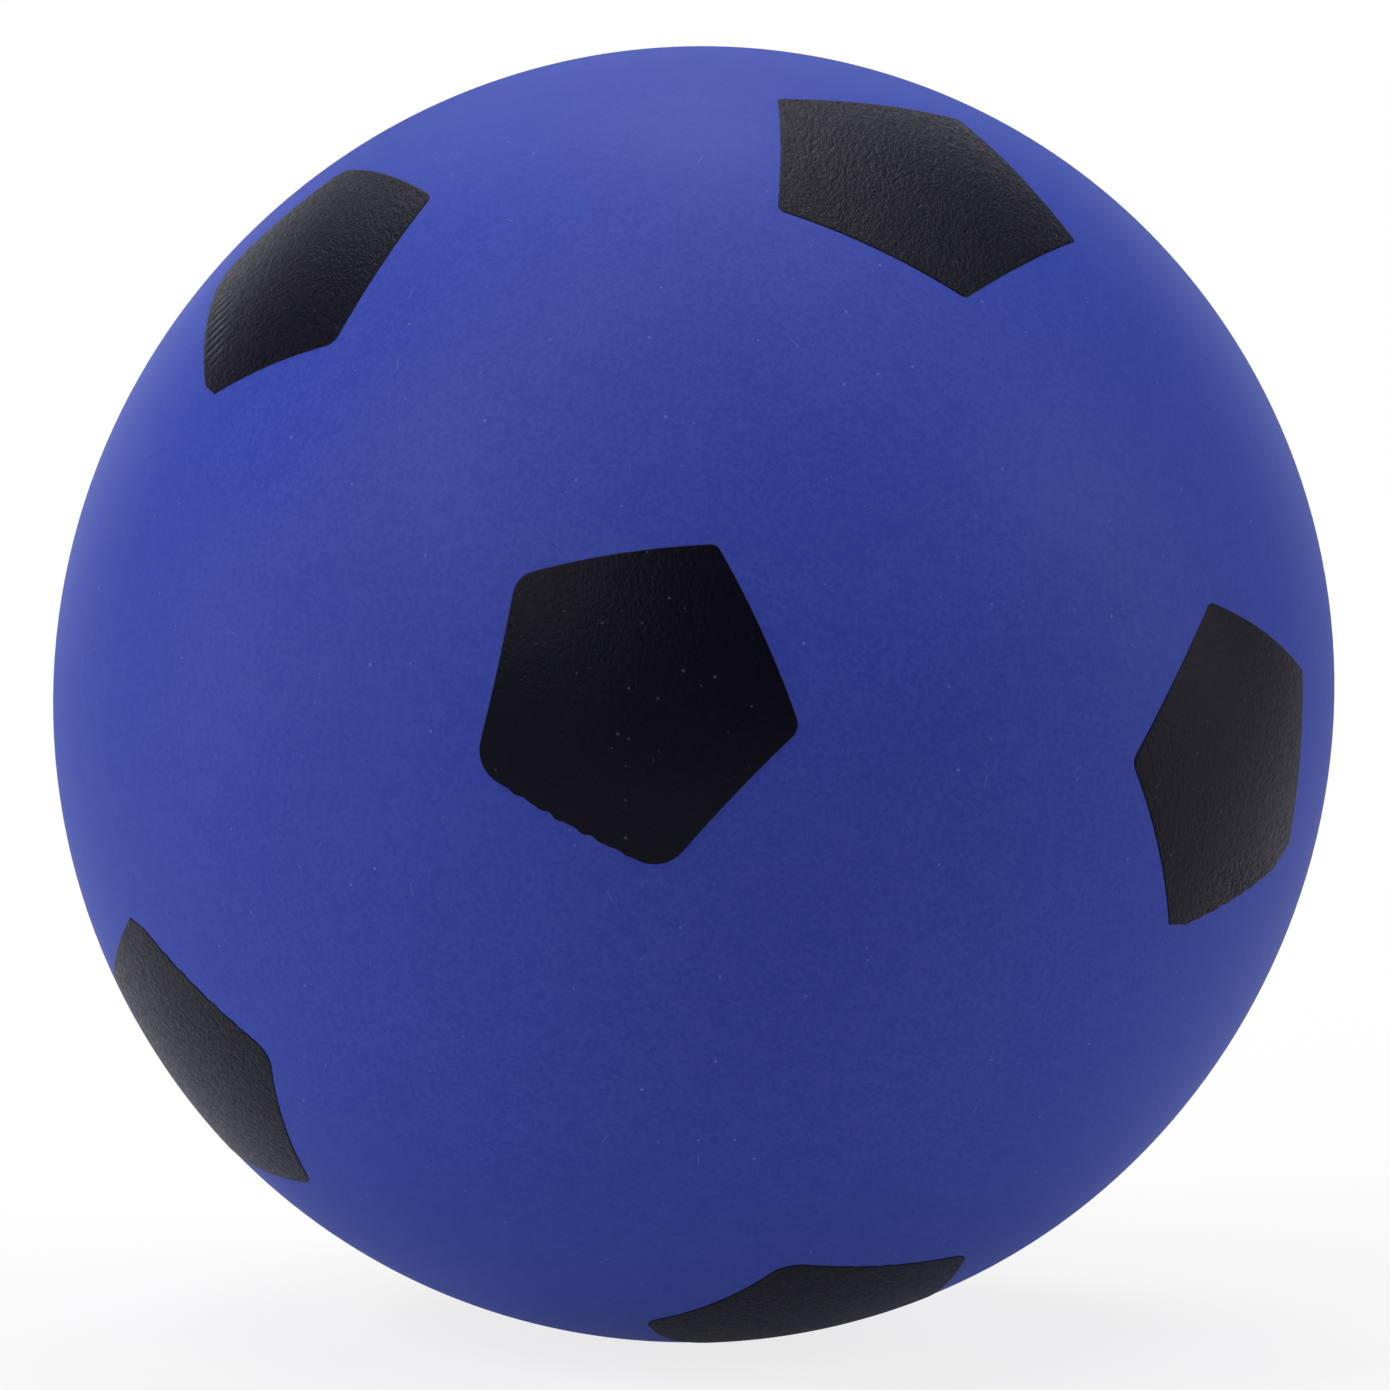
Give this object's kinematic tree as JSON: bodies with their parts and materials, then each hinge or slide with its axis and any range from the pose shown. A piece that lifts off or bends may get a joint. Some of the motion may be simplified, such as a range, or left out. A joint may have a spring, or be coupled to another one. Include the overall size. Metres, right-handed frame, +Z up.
{
  "type": "soft foam dodgeball",
  "caption": "Soft play ball: moulded foam core in a smooth elastic skin, with black five-sided prints spread evenly over it.",
  "frame": {"origin": "middle of the small flat on which the ball rests, at its lowest point", "axes": "+Z up through the middle of the ball; the front print faces -Y, and +X is to the right seen from the front"},
  "size_m": [0.178, 0.1782, 0.1774],
  "materials": {
    "foam": "raw open-cell polyurethane foam, matt",
    "skin": "blue polyurethane elastomer, satin, with a fine grain",
    "ink": "black elastic printing ink, satin, finely wrinkled"
  },
  "bodies": {
    "root": {"foam_core": "foam", "skin": "skin", "print_front": "ink", "print_upper_right": "ink", "print_upper_left": "ink", "print_right": "ink", "print_lower_left": "ink", "print_bottom": "ink", "print_rear": "ink", "print_rear_lower_left": "ink", "print_rear_lower_right": "ink", "print_rear_left": "ink", "print_rear_upper_right": "ink", "print_top": "ink"}
  },
  "joints": []
}
